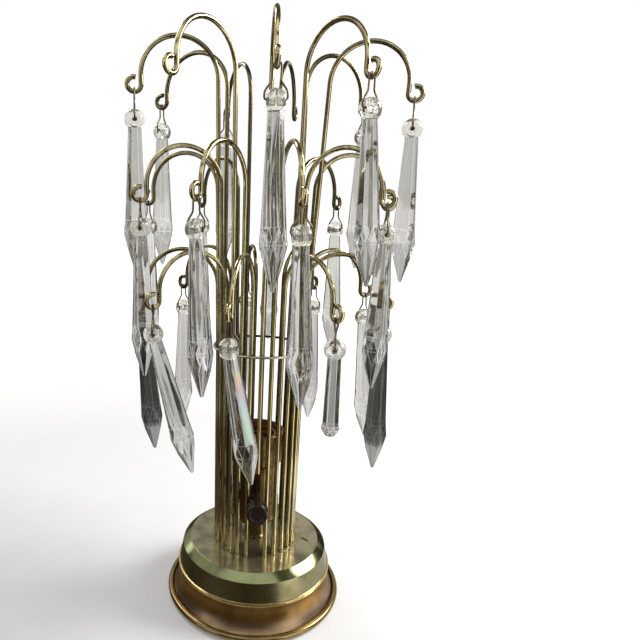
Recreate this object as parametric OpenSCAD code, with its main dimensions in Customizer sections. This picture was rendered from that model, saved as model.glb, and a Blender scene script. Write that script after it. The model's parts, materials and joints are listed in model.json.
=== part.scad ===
// Crystal prism table lamp: a stepped brass foot, a cage of bent brass rods in three heights,
// a turn-knob lamp socket in the middle, and a glass prism on a wire link at each rod's hook.
// The lamp stands on z = 0, its axis is z, and its front, with the switch knob, faces -y.
// Sizes are in millimetres and angles in degrees.

/* [Foot] */
// Outer radius of the rolled rim
rim_r = 65; // [61:0.5:72]
// Radius of the bead rolled along the rim
bead_r = 2.2; // [1.5:0.1:3]
// Gap between the bead and the table
rim_lift = 0.6; // [0.3:0.1:1.2]
// Height of the skirt's top over the table
skirt_h = 23; // [21:0.5:30]
// Height of the skirt's flare over the middle of the bead
flare_h = 12; // [8:0.5:16]
// Height of the drum, from the skirt to the plate's top
drum_h = 19; // [15:0.5:26]
// Outer radius of the drum where it stands on the skirt
drum_foot_r = 56.2; // [54:0.1:58]
// Outer radius of the drum under the bevel
drum_top_r = 53.6; // [50:0.1:56]
// Radius of the plate's flat top, inside the bevel
plate_r = 48; // [44:0.5:50]
// Height of the bevel round the plate
bevel_h = 4.5; // [2:0.5:7]
// How far the lips of drum and skirt stand out at their seam
lip_w = 1; // [0.6:0.1:2]
// Height of the drum's lip
lip_h = 1.2; // [0.8:0.1:2]
// Thickness of the spun brass
sheet = 1.2; // [0.8:0.1:2]
// Thickness of the felt pad
felt_t = 1.5; // [1:0.1:3]
// Gap between the weight's edge and the drum's foot radius
weight_gap = 8; // [5:0.5:14]
// Width of the ring of skirt that lies on the weight
flange_w = 6; // [3:0.5:12]
// Depth of the line scored just outside the rods' feet
score_t = 0.4; // [0.2:0.1:0.8]

/* [Cord inlet] */
// Height of the cord bushing's axis over the table
bush_h = 12; // [10:0.5:15]
// Outer radius of the cord bushing
bush_r = 4.5; // [4:0.1:5.5]
// Radius of the hole for the cord
bush_bore_r = 3.1; // [2.5:0.1:3.6]
// Length of the cord bushing
bush_l = 10; // [8:0.5:14]
// Thickness and overhang of the bushing's rim
bush_rim = 1.2; // [0.8:0.1:2]
// Gap between the bushing's rim and the skirt
bush_gap = 0.3; // [0.1:0.1:1]

/* [Rods] */
// Diameter of the rods
rod_d = 3; // [2.4:0.1:3.6]
// Radius of the circle that the rods stand in, at the plate
rod_circle_r = 29; // [26:0.5:32]
// Outward lean of the rods
rod_lean = 0.45; // [0:0.05:1]
// Height of a tall rod's arch over the plate, at the rod's centre line
tall_h = 347; // [320:1:380]
// Height of a middle rod's arch over the plate
middle_h = 280.5; // [260:0.5:300]
// Height of a short rod's arch over the plate
short_h = 215; // [200:1:230]
// Radius of the arches, at the rod's centre line
arch_r = 24.4; // [22:0.2:28]
// Length of the straight piece between arch and eye
hook_drop = 5.5; // [3:0.5:9]
// Radius of the eyes, at the rod's centre line
eye_r = 4.3; // [4:0.1:6]
// How far the eye's wire goes round
eye_sweep = 285; // [240:5:290]
// Depth of the rods' feet under the plate's top
rod_sink = 5; // [3:0.5:6]
// Thickness of the disc under the plate that holds the rods' feet
seat_t = 6; // [5.5:0.5:9]
// Width of that disc outside the rods
seat_edge = 5; // [3:0.5:9]
// Height over the plate of the cut end of the front rod
cut_h = 64; // [55:1:100]
// Height of the brace hoop over the plate
hoop_h = 147; // [120:1:160]
// Diameter of the brace hoop's wire
hoop_d = 1.8; // [1.2:0.1:2.4]

/* [Links] */
// Diameter of the link wire
link_d = 1.1; // [0.8:0.1:1.4]
// Drop from the centre of an eye to the centre of the ball under it
link_drop = 20.8; // [19:0.2:26]
// How far each end of a link reaches into the ball's hole
pin_l = 3.5; // [2:0.5:5]
// Gap between a link and the wire or hole that it bears on
link_gap = 0.15; // [0.1:0.05:0.3]
// Gap between a link's legs and the flat sides of the ball
leg_gap = 1.6; // [1.5:0.1:2.5]

/* [Prisms] */
// Diameter of the ball at the top of a prism
ball_d = 12.7; // [11:0.1:14]
// Width of the ball between the flat sides that its hole comes out of
head_w = 9.7; // [8.5:0.1:11]
// Diameter of the hole through the ball
hole_d = 3; // [2.6:0.1:3.6]
// Width of the shaft under the ball, across flats
neck_w = 8; // [7:0.5:9]
// Width of a prism at its shoulder, the widest place, across flats
shoulder_w = 14.5; // [11:0.5:16]
// Drop from the ball's centre to the shoulder
shaft_l = 71; // [55:1:80]
// Length of the zigzag cuts over the shoulder, and of those under it
girdle_l = 9; // [3:0.5:12]
// Length of the point under the zigzag cuts
tip_l = 16; // [12:1:32]
// Width of the end of the point
tip_w = 2; // [0.5:0.1:3]
// Share of the shoulder's width that is left over the zigzag cuts
shaft_taper = 0.92; // [0.85:0.01:0.97]
// Share of the shoulder's width that is left under the zigzag cuts
girdle_taper = 0.77; // [0.7:0.01:0.95]
// Drop from the ball's centre to the shoulder of the blunt prism
blunt_l = 48; // [40:1:56]
// Width of the blunt prism at its shoulder, across flats
blunt_w = 10.5; // [9:0.5:12]
// Length of the cuts over and under the blunt prism's shoulder
blunt_girdle_l = 2; // [1:0.5:4]
// Width of the blunt prism's end
blunt_end_w = 5; // [3:0.5:8]

/* [Socket] */
// Radius of the collar on the plate
check_r = 8.6; // [8:0.1:12]
// Thickness of the collar on the plate
check_t = 2; // [1.5:0.5:5]
// Radius of the neck under the socket
neck_r = 7.5; // [6.5:0.5:10]
// Length of the neck under the socket
neck_h = 12; // [8:0.5:16]
// Outer radius of the threaded nipple
nipple_r = 4.85; // [4.5:0.05:5.2]
// Radius of the nipple's bore
nipple_bore_r = 3.2; // [2.5:0.1:3.6]
// Height of the socket's cap
cap_h = 18; // [14:0.5:22]
// Rounding at the bottom of the cap
cap_round = 6; // [3:0.5:8]
// Thickness of the cap
cap_t = 0.8; // [0.6:0.1:1.2]
// Height of the threaded hub inside the cap
hub_h = 6; // [4:0.5:7]
// Wall of the threaded hub inside the cap
hub_wall = 2.4; // [1.5:0.1:3]
// How far the shell's foot stands over the cap's bottom
shell_seat = 8; // [7:0.5:11]
// Outer radius of the shell's barrel
shell_r = 16.4; // [15.5:0.1:17.5]
// Outer radius of the wide top of the shell
husk_r = 19; // [18:0.1:21]
// Height of the wide top of the shell
husk_h = 25; // [18:0.5:28]
// Height of the socket's rim over the plate
socket_top = 85; // [80:0.5:95]
// Thickness of the shell
shell_t = 0.6; // [0.5:0.1:1]
// Radius of the bead round the shell's rim
shell_bead_r = 0.7; // [0.5:0.1:1]
// Thickness of the fibre liner
liner_t = 0.9; // [0.6:0.1:1.4]
// How far the liner ends below the rim
liner_drop = 1; // [0.5:0.1:3]
// Radius of the screw shell's thread crests
screw_r = 12.4; // [12:0.05:13]
// Depth of the screw shell's thread
thread_d = 0.9; // [0.5:0.05:1.2]
// Pitch of the screw shell's thread
thread_pitch = 3.63; // [3:0.01:4.2]
// Wall of the screw shell outside the thread
screw_t = 0.5; // [0.4:0.1:0.8]
// Height of the screw shell
screw_h = 26; // [22:0.5:28]
// How far the screw shell ends below the rim
screw_drop = 3; // [2:0.5:10]
// Radius of the centre contact
contact_r = 4.5; // [3:0.5:6]
// Height of the centre contact
contact_h = 1.6; // [1:0.1:3]

/* [Switch] */
// Height of the switch axis over the plate
knob_h = 39.5; // [36:0.5:44]
// Radius of the knob
knob_r = 7.6; // [6.5:0.1:9]
// Thickness of the knob's head
knob_t = 10; // [8:0.5:13]
// Rounding of the knob's edges
knob_round = 1.8; // [1:0.1:3]
// Radius of the knob's stem
stem_r = 3.5; // [3:0.1:4]
// Radius of the switch shaft
shaft_r = 1.6; // [1.2:0.1:2]
// Distance from the lamp's axis to the inner end of the switch shaft
shaft_start = 5; // [3:0.5:8]
// Depth of the shaft in the knob's head
shaft_grip = 5; // [3:0.5:7]
// Gap between the knob and the rods behind it, and between stem and shell
knob_gap = 2; // [1:0.1:4]

/* [Fasteners] */
// Thickness of the lock nut
nut_t = 4.5; // [3:0.5:6]
// Width of the lock nut across its corners
nut_w = 17; // [14:0.5:19]
// Thickness of the lock washer
washer_t = 1.2; // [0.8:0.1:2]
// Radius of the lock washer
washer_r = 9.5; // [8:0.5:11]
// Radius of a terminal screw's shank
screw_shank_r = 1.4; // [1:0.1:1.8]
// Length of a terminal screw's shank
screw_shank_l = 5; // [3:0.5:7]
// Radius of a terminal screw's head
screw_head_r = 2.8; // [2.2:0.1:3.4]
// Height of a terminal screw's head
screw_head_h = 1.6; // [1:0.1:2.5]

/* [Clearances] */
// Gap between pieces that fit into each other
fit = 0.1; // [0.05:0.05:0.2]
// Gap round threads and turning shafts
turn_gap = 0.05; // [0.02:0.01:0.1]
// Room round the nut, the washer and the cord in the weight
room = 2; // [1:0.5:4]

/* [Hidden] */
$fn = 72;
TALL = 0;
MIDDLE = 1;
SHORT = 2;
TIER_NAMES = ["tall", "middle", "short"];
RODS_PER_TIER = 9;
FRONT = 0;
FACETS = 8;
TIER_STEP = 360 / RODS_PER_TIER;
ROD_STEP = TIER_STEP / 3;

// The rods that carry a prism: two of the tall hooks are bare.
HUNG = [[0, 1, 2, 3, 5, 6, 7], [for (k = [0:8]) k], [for (k = [0:8]) k]];

// The rods were bent by hand: extra outward lean above the hoop, and turn of the hook, rod by rod.
ROD_OUT = [
    [1.5, 0.5, 2.5, -0.5, -1, 0.5, 0, 0.5, 0.5],
    [1.5, 0.5, 1.5, 1, 0, 1.5, 1.5, 0.5, -0.5],
    [0, 0, -1, 0, 0, 0, 1, -0.5, -0.5]
];
HOOK_TURN = [
    [0, -5, -5, 0, 4, 0, 4, 2, 0],
    [-4, 5, 5, 5, 0, 0, 0, -2, -4],
    [3, 5, 4, 0, 0, 0, 4, -4, -2]
];
// How each prism hangs: its swing out from the lamp, its lean to the right, its turn past the hook's.
PRISM_SWING = [
    [0, 0, 0, 0, 0, 0, 0, 0, 0],
    [0, -1, 0, 0, 0, 0, 0, -1, 0],
    [0, 0, 5, 0, 0, 0, -5, -15, -14]
];
PRISM_SIDE = [
    [1, 4, 2, 0, 0, 0, 0, -2, 0],
    [2, 0, 0, -1, 0, 0, 0, 0, 3],
    [0, 3, 0, 0, 0, 0, 0, 0, 6]
];
PRISM_TURN = [
    [0, 0, 0, 0, 0, 0, 0, 0, 0],
    [0, 30, 0, 0, 0, 0, 0, -18, 0],
    [50, 0, 0, 0, 0, 0, 0, -30, 0]
];
BLUNT = 0;

plate_h = skirt_h + drum_h;
bevel_z = plate_h - bevel_h;
skirt_top_r = drum_foot_r + lip_w;
bead_at = [rim_r - bead_r, rim_lift + bead_r];
cove_w = bead_at.x - skirt_top_r;
cove_r = (cove_w * cove_w + flare_h * flare_h) / (2 * cove_w);
wall_z = bead_at.y + flare_h;
cove_at = [skirt_top_r + cove_r, wall_z];
felt_r = rim_r - 2 * bead_r - fit;
weight_r = drum_foot_r - weight_gap;
weight_top = skirt_h - sheet;
recess_h = nut_t + washer_t + room;
recess_r = max(nut_w / 2, washer_r) + room;
seat_z = plate_h - sheet - seat_t;
seat_r = rod_circle_r + rod_d / 2 + seat_edge;
stem_hole_r = nipple_r + fit;
score_w = 2 * score_t;
score_r = rod_circle_r + rod_d / 2 + fit + score_w / 2;
bush_end = skirt_out(bush_h - bush_r - bush_rim) + bush_gap + bush_rim;

heights = [tall_h, middle_h, short_h];
hoop_r = rod_circle_r + hoop_h * sin(rod_lean) + rod_d / 2 + fit + hoop_d / 2;
hoop_z = plate_h + hoop_h * cos(rod_lean);
knuckle = 1.04;
blunt_tip_l = 1.25 * blunt_girdle_l;

link_bend_r = rod_d / 2 + link_gap + link_d / 2;
pin_rise = hole_d / 2 - link_d / 2 - link_gap;
pin_drop = link_drop - eye_r - pin_rise;
leg_out = head_w / 2 + leg_gap + link_d / 2;
neck_drop = ball_d / 4;

cap_z = plate_h + check_t + neck_h;
cap_r = shell_r + fit + cap_t;
shell_z = cap_z + shell_seat;
shell_top = plate_h + socket_top;
husk_z = shell_top - husk_h;
husk_step = husk_r - shell_r;
body_r = shell_r - shell_t - fit;
body_z = cap_z + hub_h + fit;
screw_z = shell_top - screw_drop - screw_h;
screw_out_r = screw_r + thread_d + screw_t;
knob_z = plate_h + knob_h;
stem_start = shell_r + knob_gap;
head_start = rod_circle_r + knob_h * sin(rod_lean) + rod_d / 2 + knob_gap;
terminal_z = (body_z + knob_z - shaft_r) / 2;

function prism_name(t, k) = str(TIER_NAMES[t], "_prism_", k + 1);

// Turns a point about x, y or z.
function turn_x(a, p) = [p.x, p.y * cos(a) - p.z * sin(a), p.y * sin(a) + p.z * cos(a)];
function turn_y(a, p) = [p.x * cos(a) + p.z * sin(a), p.y, p.z * cos(a) - p.x * sin(a)];
function turn_z(a, p) = [p.x * cos(a) - p.y * sin(a), p.x * sin(a) + p.y * cos(a), p.z];

// The most that the skirt stands out from the axis at and over a height.
function skirt_out(z) =
    z < bead_at.y + bead_r ? max(rim_r, skirt_top_r)
    : z > wall_z ? skirt_top_r
    : max(skirt_top_r, cove_at.x - sign(cove_r) * sqrt(pow(cove_r, 2) - pow(wall_z - z, 2)));

// The direction of a rod, from the front round to the right.
function rod_angle(t, k) = TIER_STEP * k + ROD_STEP * t;

// The bottom of a rod's eye, with x out from the lamp's axis through the rod's foot.
function eye_bottom(t, k) =
    [rod_circle_r, 0, plate_h]
    + turn_y(rod_lean, [0, 0, hoop_h])
    + turn_y(rod_lean + ROD_OUT[t][k], turn_z(HOOK_TURN[t][k],
        [2 * arch_r + eye_r, 0, heights[t] - hoop_h - arch_r - hook_drop - eye_r]));

// The middle of the two wire ends that carry a prism, and the direction of those ends.
function pin_at(t, k) = eye_bottom(t, k) - [0, 0, pin_drop];
function prism_turn(t, k) = HOOK_TURN[t][k] + PRISM_TURN[t][k];
function pin_way(t, k) = turn_z(prism_turn(t, k), turn_x(PRISM_SIDE[t][k], [0, 1, 0]));

// Puts x out through a rod's foot.
module toward_rod(t, k) {
    rotate([0, 0, rod_angle(t, k) - 90]) children();
}

// Puts z along the lower part of a rod, from the plate's top.
module on_foot(t, k) {
    toward_rod(t, k) translate([rod_circle_r, 0, plate_h]) rotate([0, rod_lean, 0]) children();
}

// Puts z out through the front, from the lamp's axis at the switch's height.
module toward_front() {
    translate([0, 0, knob_z]) rotate([90, 0, 0]) children();
}

// A straight wire between two points.
module wire(a, b, d) {
    way = b - a;
    length = norm(way);
    translate(a) rotate([0, acos(way.z / length), atan2(way.y, way.x)]) cylinder(d = d, h = length);
}

// Half of a cup's section, with a rounded bottom edge.
module cup_section(r, h, round) {
    square([r - round, h]);
    translate([0, round]) square([r, h - round]);
    translate([r - round, round]) circle(round);
}

// A tube on the lamp's axis.
module tube(r, bore_r, z, h) {
    translate([0, 0, z]) difference() {
        cylinder(r = r, h = h);
        translate([0, 0, -1]) cylinder(r = bore_r, h = h + 2);
    }
}

module felt_pad() {
    color("darkolivegreen") cylinder(r = felt_r, h = felt_t);
}

module base_weight() {
    color("dimgray") difference() {
        translate([0, 0, felt_t]) cylinder(r = weight_r, h = weight_top - felt_t);
        translate([0, 0, felt_t - 1]) cylinder(r = recess_r, h = recess_h + 1);
        cylinder(r = stem_hole_r, h = weight_top + 1);
        translate([-bush_bore_r - room, 0, felt_t - 1])
            cube([2 * (bush_bore_r + room), weight_r + 1, bush_h + bush_bore_r + room - felt_t + 1]);
    }
}

module skirt_section() {
    sides = [abs(cove_r), abs(cove_r + sheet)];
    intersection() {
        translate(cove_at) difference() {
            circle(max(sides), $fn = 360);
            circle(min(sides), $fn = 360);
        }
        translate([0, bead_at.y]) square([max(bead_at.x, skirt_top_r), flare_h]);
    }
    translate([skirt_top_r - sheet, wall_z]) square([sheet, skirt_h - wall_z]);
    translate([weight_r - flange_w, weight_top]) square([skirt_top_r - weight_r + flange_w, sheet]);
    translate(bead_at) circle(bead_r);
}

module base_skirt() {
    color("darkgoldenrod") difference() {
        rotate_extrude($fn = 180) skirt_section();
        translate([0, weight_r, bush_h]) rotate([-90, 0, 0]) cylinder(r = bush_r + fit, h = rim_r);
    }
}

module drum_section() {
    polygon([
        [stem_hole_r, plate_h], [plate_r, plate_h], [drum_top_r, bevel_z],
        [drum_foot_r, skirt_h + lip_h], [skirt_top_r, skirt_h + lip_h], [skirt_top_r, skirt_h],
        [drum_foot_r - sheet, skirt_h], [drum_top_r - sheet, bevel_z - sheet / 2],
        [plate_r - sheet / 2, plate_h - sheet], [stem_hole_r, plate_h - sheet]
    ]);
}

// The holes for the rods that stand in the foot, which is all but the cut one at the front.
module rod_holes() {
    for (t = [TALL:SHORT], k = [0:RODS_PER_TIER - 1])
        if (t != TALL || k != FRONT)
            on_foot(t, k) translate([0, 0, -rod_sink - fit])
                cylinder(d = rod_d + 2 * fit, h = 2 * rod_sink);
}

module base_drum() {
    color("olive") difference() {
        rotate_extrude($fn = 180) drum_section();
        rod_holes();
        rotate_extrude($fn = 180)
            translate([score_r, plate_h - score_t]) square([score_w, 2 * score_t]);
    }
}

module rod_seat() {
    color("goldenrod") difference() {
        tube(seat_r, stem_hole_r, seat_z, seat_t);
        rod_holes();
    }
}

module base_spacer() {
    color("gray") tube(neck_r, stem_hole_r, weight_top, seat_z - weight_top);
}

module cord_bushing() {
    color("black") translate([0, bush_end, bush_h]) rotate([90, 0, 0]) difference() {
        union() {
            cylinder(r = bush_r, h = bush_l);
            cylinder(r = bush_r + bush_rim, h = bush_rim);
        }
        translate([0, 0, -1]) cylinder(r = bush_bore_r, h = bush_l + 2);
    }
}

module threaded_nipple() {
    start = felt_t + room / 2;
    color("silver") tube(nipple_r, nipple_bore_r, start, cap_z + hub_h - start);
}

module lock_nut() {
    color("silver") translate([0, 0, felt_t + recess_h - washer_t - nut_t]) difference() {
        cylinder(d = nut_w, h = nut_t, $fn = 6);
        translate([0, 0, -1]) cylinder(r = nipple_r + turn_gap, h = nut_t + 2);
    }
}

module lock_washer() {
    color("lightgray") tube(washer_r, stem_hole_r, felt_t + recess_h - washer_t, washer_t);
}

module check_ring() {
    color("goldenrod") difference() {
        translate([0, 0, plate_h]) {
            cylinder(r = check_r, h = check_t / 2);
            translate([0, 0, check_t / 2])
                cylinder(r1 = check_r, r2 = check_r - check_t / 2, h = check_t / 2);
        }
        translate([0, 0, plate_h - 1]) cylinder(r = stem_hole_r, h = check_t + 2);
    }
}

module neck_tube() {
    color("goldenrod") tube(neck_r, stem_hole_r, plate_h + check_t, neck_h);
}

module socket_cap() {
    color("darkgoldenrod") translate([0, 0, cap_z]) {
        difference() {
            rotate_extrude() difference() {
                cup_section(cap_r, cap_h, cap_round);
                translate([0, cap_t]) cup_section(cap_r - cap_t, cap_h, cap_round - cap_t);
            }
            translate([0, 0, -1]) cylinder(r = nipple_r + turn_gap, h = hub_h);
        }
        tube(nipple_r + hub_wall, nipple_r + turn_gap, 0, hub_h);
    }
}

module shell_section() {
    polygon([
        [shell_r, shell_z], [shell_r, husk_z], [husk_r, husk_z + husk_step], [husk_r, shell_top],
        [husk_r - shell_t, shell_top], [husk_r - shell_t, husk_z + husk_step],
        [shell_r - shell_t, husk_z], [shell_r - shell_t, shell_z]
    ]);
    translate([husk_r, shell_top - shell_bead_r]) circle(shell_bead_r);
}

module socket_shell() {
    color("peru") difference() {
        rotate_extrude() shell_section();
        toward_front() cylinder(r = shaft_r + knob_gap, h = shell_r + 1);
    }
}

module socket_liner() {
    start = husk_z + husk_step + fit;
    color("saddlebrown")
        tube(husk_r - shell_t - fit, husk_r - shell_t - fit - liner_t, start, shell_top - liner_drop - start);
}

// A terminal screw's place: z out through the side of the socket's body, from the head's seat.
module at_terminals() {
    for (side = [-1, 1])
        translate([0, 0, terminal_z]) rotate([0, 90 * side, 0])
            translate([0, 0, body_r - screw_head_h - room]) children();
}

module socket_body() {
    color("dimgray") difference() {
        translate([0, 0, body_z]) cylinder(r = body_r, h = screw_z - body_z);
        toward_front() translate([0, 0, shaft_start - fit]) cylinder(r = shaft_r + turn_gap, h = body_r);
        translate([0, 0, screw_z - contact_h]) cylinder(r = contact_r + fit, h = contact_h + 1);
        at_terminals() {
            cylinder(r = screw_head_r + fit, h = body_r);
            translate([0, 0, -screw_shank_l - fit]) cylinder(r = screw_shank_r + turn_gap, h = body_r);
        }
    }
}

module screw_shell() {
    threads = floor(screw_h / thread_pitch) - 1;
    color("chocolate") difference() {
        tube(screw_out_r, screw_r, screw_z, screw_h);
        for (i = [1:threads])
            rotate_extrude() translate([screw_r, screw_z + i * thread_pitch]) circle(thread_d, $fn = 32);
    }
}

module centre_contact() {
    color("gold") translate([0, 0, screw_z - contact_h]) {
        cylinder(r = contact_r, h = contact_h / 2);
        cylinder(r = contact_r / 2, h = contact_h);
    }
}

module terminal_screws() {
    color("gold") at_terminals() {
        cylinder(r = screw_head_r, h = screw_head_h);
        translate([0, 0, -screw_shank_l]) cylinder(r = screw_shank_r, h = screw_shank_l + screw_head_h / 2);
    }
}

module switch_shaft() {
    color("silver") toward_front() translate([0, 0, shaft_start])
        cylinder(r = shaft_r, h = head_start + shaft_grip - shaft_start);
}

module knob_section() {
    translate([0, stem_start]) square([stem_r, head_start - stem_start + knob_round]);
    translate([0, head_start]) {
        square([knob_r - knob_round, knob_t]);
        translate([0, knob_round]) square([knob_r, knob_t - 2 * knob_round]);
        for (z = [knob_round, knob_t - knob_round])
            translate([knob_r - knob_round, z]) circle(knob_round);
    }
}

module switch_knob() {
    color("black") toward_front() difference() {
        rotate_extrude() knob_section();
        cylinder(r = shaft_r + turn_gap, h = head_start + shaft_grip + fit);
    }
}

// The bent upper part of a rod, upright from its foot: straight, over the arch, down and round the eye.
module hook(length) {
    side_z = length - arch_r;
    eye_z = side_z - hook_drop;
    cylinder(d = rod_d, h = side_z);
    translate([arch_r, 0, side_z]) rotate([90, 0, 0])
        rotate_extrude(angle = 180) translate([arch_r, 0]) circle(d = rod_d);
    translate([2 * arch_r, 0, eye_z]) cylinder(d = rod_d, h = hook_drop);
    translate([2 * arch_r + eye_r, 0, eye_z]) rotate([90, 0, 0]) rotate([0, 0, 180])
        rotate_extrude(angle = eye_sweep) translate([eye_r, 0]) circle(d = rod_d);
}

// One rod, from a height over the plate that is below zero for a foot in the seat.
module rod(t, k, start) {
    on_foot(t, k) {
        translate([0, 0, start]) cylinder(d = rod_d, h = hoop_h - start);
        translate([0, 0, hoop_h]) {
            sphere(d = rod_d * knuckle);
            rotate([0, ROD_OUT[t][k], 0]) rotate([0, 0, HOOK_TURN[t][k]]) hook(heights[t] - hoop_h);
        }
    }
}

module front_rod() {
    color("darkgoldenrod") rod(TALL, FRONT, cut_h);
}

module standing_rods(t) {
    for (k = [0:RODS_PER_TIER - 1])
        if (t != TALL || k != FRONT)
            color("darkgoldenrod") rod(t, k, -rod_sink);
}

module brace_hoop() {
    color("sienna") translate([0, 0, hoop_z]) rotate_extrude($fn = 180)
        translate([hoop_r, 0]) circle(d = hoop_d);
}

// One wire link: a bend over the eye's wire and two legs whose ends turn into the ball's hole.
module link(t, k) {
    eye = eye_bottom(t, k);
    pin = pin_at(t, k);
    way = pin_way(t, k);
    toward_rod(t, k) {
        translate(eye) rotate([90, 0, 90 + HOOK_TURN[t][k]])
            rotate_extrude(angle = 180) translate([link_bend_r, 0]) circle(d = link_d);
        for (side = [-1, 1]) {
            bend_end = eye + turn_z(HOOK_TURN[t][k], [0, side * link_bend_r, 0]);
            corner = pin + side * leg_out * way;
            wire(bend_end, corner, link_d);
            wire(corner, pin + side * (head_w / 2 - pin_l) * way, link_d);
            translate(bend_end) sphere(d = link_d * knuckle);
            translate(corner) sphere(d = link_d * knuckle);
        }
    }
}

module links(t) {
    for (k = HUNG[t])
        color("sienna") link(t, k);
}

// Corners of a ring of facets, width across flats, turned by a share of one facet.
function facet_ring(w, z, share) =
    [for (i = [0:FACETS - 1])
        let (a = (i + share) * 360 / FACETS, r = w / 2 / cos(180 / FACETS))
        [r * cos(a), r * sin(a), z]];

// A cut-glass spear below the ball's centre: tapered shaft, zigzag cuts over and under the shoulder, point.
module spear(w, length, girdle, tip, end_w) {
    n = FACETS;
    sides = [for (i = [0:n - 1]) [i, (i + 1) % n]];
    polyhedron(
        points = concat(
            facet_ring(neck_w, -neck_drop, 0.5), facet_ring(w * shaft_taper, girdle - length, 0.5),
            facet_ring(w, -length, 0), facet_ring(w * girdle_taper, -length - girdle, 0.5),
            facet_ring(end_w, -length - girdle - tip, 0.5)),
        faces = concat(
            [[for (i = [n - 1:-1:0]) i]],
            [for (s = sides) [s[0], s[1], n + s[1], n + s[0]]],
            [for (s = sides) [n + s[0], 2 * n + s[1], 2 * n + s[0]]],
            [for (s = sides) [n + s[0], n + s[1], 2 * n + s[1]]],
            [for (s = sides) [2 * n + s[0], 2 * n + s[1], 3 * n + s[0]]],
            [for (s = sides) [2 * n + s[1], 3 * n + s[1], 3 * n + s[0]]],
            [for (s = sides) [3 * n + s[0], 3 * n + s[1], 4 * n + s[1], 4 * n + s[0]]],
            [[for (i = [0:n - 1]) 4 * n + i]]));
}

// One prism on its link, drawn from the wire ends that it swings on.
module prism(t, k) {
    color("lightsteelblue", 0.5) toward_rod(t, k) translate(pin_at(t, k))
        rotate([PRISM_SIDE[t][k], 0, prism_turn(t, k)]) rotate([0, -PRISM_SWING[t][k], 0])
            translate([0, 0, -pin_rise]) difference() {
                union() {
                    intersection() {
                        sphere(d = ball_d);
                        cube([ball_d, head_w, ball_d], center = true);
                    }
                    if (t == SHORT && k == BLUNT)
                        spear(blunt_w, blunt_l, blunt_girdle_l, blunt_tip_l, blunt_end_w);
                    else
                        spear(shoulder_w, shaft_l, girdle_l, tip_l, tip_w);
                }
                rotate([90, 0, 0]) cylinder(d = hole_d, h = 2 * ball_d, center = true);
            }
}

felt_pad();
base_weight();
base_skirt();
base_drum();
rod_seat();
base_spacer();
cord_bushing();
threaded_nipple();
lock_nut();
lock_washer();
check_ring();
neck_tube();
socket_cap();
socket_shell();
socket_liner();
socket_body();
screw_shell();
centre_contact();
terminal_screws();
switch_shaft();
switch_knob();
front_rod();
standing_rods(TALL);  // tall_rods
standing_rods(MIDDLE);  // middle_rods
standing_rods(SHORT);  // short_rods
brace_hoop();
links(TALL);  // tall_links
links(MIDDLE);  // middle_links
links(SHORT);  // short_links
for (t = [TALL:SHORT], k = HUNG[t])
    prism(t, k);
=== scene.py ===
"""Looks of a crystal prism table lamp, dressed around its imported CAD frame.

The frame is the CAD model's: z up from the table, the front with its knob toward -y. The scene is in metres.
The lamp's sizes are written in millimetres, and MM turns them into metres where they are used.
"""
import json
import math

import bmesh
import bpy
from mathutils import Matrix, Vector, noise


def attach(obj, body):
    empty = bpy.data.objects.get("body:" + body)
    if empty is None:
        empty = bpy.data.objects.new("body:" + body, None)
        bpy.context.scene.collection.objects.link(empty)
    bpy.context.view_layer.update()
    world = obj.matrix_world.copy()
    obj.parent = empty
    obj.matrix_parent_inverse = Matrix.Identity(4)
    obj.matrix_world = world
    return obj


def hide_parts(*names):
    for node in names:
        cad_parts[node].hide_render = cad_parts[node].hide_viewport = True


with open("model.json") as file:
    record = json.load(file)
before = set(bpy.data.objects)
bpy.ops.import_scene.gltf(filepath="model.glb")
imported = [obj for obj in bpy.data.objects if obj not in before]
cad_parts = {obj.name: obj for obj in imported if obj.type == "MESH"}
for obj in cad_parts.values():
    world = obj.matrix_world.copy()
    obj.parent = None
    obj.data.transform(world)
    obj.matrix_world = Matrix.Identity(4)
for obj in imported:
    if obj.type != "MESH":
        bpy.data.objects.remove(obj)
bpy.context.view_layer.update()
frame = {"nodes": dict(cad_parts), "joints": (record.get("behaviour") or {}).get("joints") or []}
NODES = frame["nodes"]
MM = 0.001
LAMP = "lamp"
KNOB = "knob"

# The view of the photograph, with angles in degrees
IMAGE_PX = 640
FOCAL_PX = 544.75
PRINCIPAL_PX = (239.6, 324.6)
CAMERA_AT = (-15.8 * MM, -377.5 * MM, 281.0 * MM)
CAMERA_YAW = 0.11
CAMERA_PITCH = 11.49
CAMERA_ROLL = 1.45
SENSOR_MM = 36.0
CLIP_START = 0.01

# Turned shapes: margin for testing a face's place and radius that closes one at its axis, in millimetres, and
# the number of sides of the foot
NEAR = 0.01
AXIS_R = 0.01
FOOT_SEGMENTS = 256

# Corners flatter than this half angle in degrees aren't rounded
FLAT_CORNER = 88

# Foot, as the CAD model has it, in millimetres
RIM_R = 65.0
BEAD_R = 2.2
RIM_LIFT = 0.6
SKIRT_H = 23.0
FLARE_H = 12.0
PLATE_H = 42.0
DRUM_FOOT_R = 56.2
DRUM_TOP_R = 53.6
PLATE_R = 48.0
BEVEL_H = 4.5
LIP_W = 1.0
LIP_H = 1.2
SHEET = 1.2
STEM_HOLE_R = 4.95
SCORE_R = 31.0
SCORE_W = 0.8
SCORE_T = 0.4
SKIRT_IN_R = 42.2

# Finer forms of the skirt, in millimetres and degrees: its lip, where the wall starts under the lip and how
# far it stands back, how far the cove ends before the bead, the bead's arc, and the depth of the lip's finish
LIP_CHAMFER = 0.25
LIP_EDGE = 0.9
WALL_DROP = 1.4
WALL_BACK = 0.35
BEAD_GAP = 3.0
BEAD_ARC = (118, -172)
LIP_FINISH = 1.3

# Where the drum's finishes change, in millimetres: over the bevel's lower edge, and over the lip
BEVEL_MARGIN = 0.3
LIP_MARGIN = 0.1

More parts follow.
